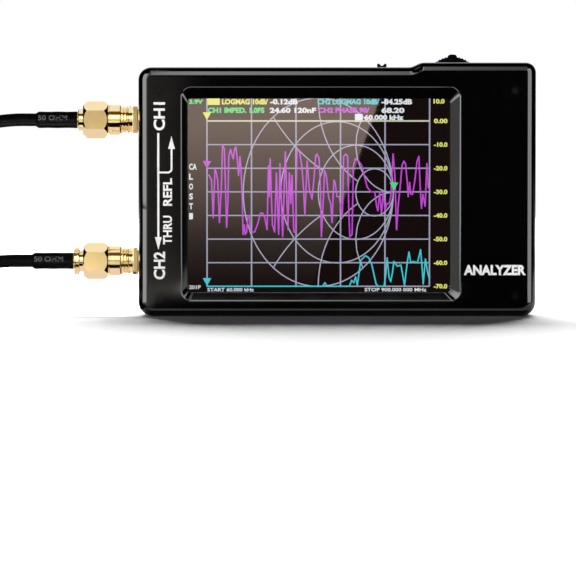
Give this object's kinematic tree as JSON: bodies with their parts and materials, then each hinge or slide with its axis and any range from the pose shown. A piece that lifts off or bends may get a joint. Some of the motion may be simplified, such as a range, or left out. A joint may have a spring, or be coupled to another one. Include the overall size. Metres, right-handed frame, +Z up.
{
  "type": "vector network analyser",
  "caption": "Pocket radio-frequency network analyser with a colour screen, jog switch and coaxial test leads on its ports.",
  "frame": {"origin": "middle of the flat bottom edge that the case stands on", "axes": "+X to the right along the case, -Y out of the screen, +Z up"},
  "size_m": [0.246, 0.0198, 0.0611],
  "materials": {
    "shell": "black moulded plastic, semi-gloss",
    "black_plastic": "black moulded nylon",
    "screen_glass": "polished",
    "foam": "closed-cell foam",
    "white_plastic": "moulded",
    "ribbon": "polyimide film",
    "board": "glass-fibre laminate with solder mask",
    "chip": "moulded epoxy",
    "tinned_steel": "tinned sheet steel",
    "steel": "stainless steel",
    "pouch": "laminated foil pouch",
    "red_wire": "extruded insulation",
    "cable_jacket": "extruded jacket and heat-shrink sleeve",
    "ptfe": "turned fluoropolymer",
    "gold": "gold-plated brass, polished"
  },
  "bodies": {
    "case": {"backlight_frame": "white_plastic", "battery_cell": "pouch", "battery_pad": "foam", "battery_plug": "white_plastic", "battery_socket": "white_plastic", "battery_wire_black": "cable_jacket", "battery_wire_red": "red_wire", "case_screw_1": "steel", "case_screw_2": "steel", "case_screw_3": "steel", "case_screw_4": "steel", "clock_chip": "chip", "codec_chip": "chip", "front_shell": "shell", "jog_body": "steel", "lcd_glass": "screen_glass", "lcd_ribbon": "ribbon", "main_board": "board", "mixer_chip_1": "chip", "mixer_chip_2": "chip", "oscillator_can": "tinned_steel", "port_1_contact": "gold", "port_1_insulator": "ptfe", "port_1_jack": "gold", "port_2_contact": "gold", "port_2_insulator": "ptfe", "port_2_jack": "gold", "power_switch_body": "steel", "processor_chip": "chip", "rear_shell": "shell", "rf_shield_1": "tinned_steel", "rf_shield_2": "tinned_steel", "screen_gasket": "foam", "touch_panel": "screen_glass", "usb_socket": "steel", "usb_tongue": "black_plastic"},
    "power_knob": {"power_switch_knob": "black_plastic"},
    "jog_carriage": {"jog_carriage": "steel"},
    "jog_lever": {"jog_lever": "black_plastic"},
    "lead_1": {"lead_1_near_plug": "gold", "lead_1_near_boot": "cable_jacket", "lead_1_near_pin": "gold", "lead_1_cable": "cable_jacket", "lead_1_far_boot": "cable_jacket", "lead_1_far_plug": "gold", "lead_1_far_pin": "gold", "lead_1_far_insulator": "ptfe"},
    "near_nut_1": {"lead_1_near_nut": "gold"},
    "far_nut_1": {"lead_1_far_nut": "gold"},
    "lead_2": {"lead_2_near_plug": "gold", "lead_2_near_boot": "cable_jacket", "lead_2_near_pin": "gold", "lead_2_cable": "cable_jacket", "lead_2_far_boot": "cable_jacket", "lead_2_far_plug": "gold", "lead_2_far_pin": "gold", "lead_2_far_insulator": "ptfe"},
    "near_nut_2": {"lead_2_near_nut": "gold"},
    "far_nut_2": {"lead_2_far_nut": "gold"}
  },
  "joints": [
    {"name": "power_switch_slide", "type": "slide", "parent": "case", "child": "power_knob", "axis": [1, 0, 0], "range_m": [0, 0.002]},
    {"name": "jog_press", "type": "slide", "parent": "case", "child": "jog_carriage", "axis": [0, 0, -1], "range_m": [0, 0.0005], "stiffness_N_per_m": 100, "springref_m": -0.0001},
    {"name": "jog_turn", "type": "hinge", "parent": "jog_carriage", "child": "jog_lever", "pos_m": [0.0273, 0.003, 0.0544], "axis": [0, 1, 0], "range_deg": [-18, 18], "stiffness_Nm_per_rad": 0.001},
    {"name": "lead_1_slide", "type": "slide", "parent": "case", "child": "lead_1", "axis": [-1, 0, 0], "range_m": [0, 0.00388]},
    {"name": "near_nut_1_turn", "type": "hinge", "parent": "lead_1", "child": "near_nut_1", "pos_m": [-0.05085, 0.0006, 0.04605], "axis": [-1, 0, 0], "range_deg": [0, 1980]},
    {"name": "far_nut_1_turn", "type": "hinge", "parent": "lead_1", "child": "far_nut_1", "pos_m": [-0.16, 0.0056, 0.00378], "axis": [1, 0, 0], "continuous": true},
    {"name": "lead_2_slide", "type": "slide", "parent": "case", "child": "lead_2", "axis": [-1, 0, 0], "range_m": [0, 0.00388]},
    {"name": "near_nut_2_turn", "type": "hinge", "parent": "lead_2", "child": "near_nut_2", "pos_m": [-0.05085, 0.0006, 0.0128], "axis": [-1, 0, 0], "range_deg": [0, 1980]},
    {"name": "far_nut_2_turn", "type": "hinge", "parent": "lead_2", "child": "far_nut_2", "pos_m": [-0.1782, -0.0056, 0.00378], "axis": [1, 0, 0], "continuous": true}
  ],
  "couplings": [
    {"joint": "near_nut_1_turn", "follows": "lead_1_slide", "rad_per_m": 8904.7},
    {"joint": "near_nut_2_turn", "follows": "lead_2_slide", "rad_per_m": 8904.7}
  ]
}
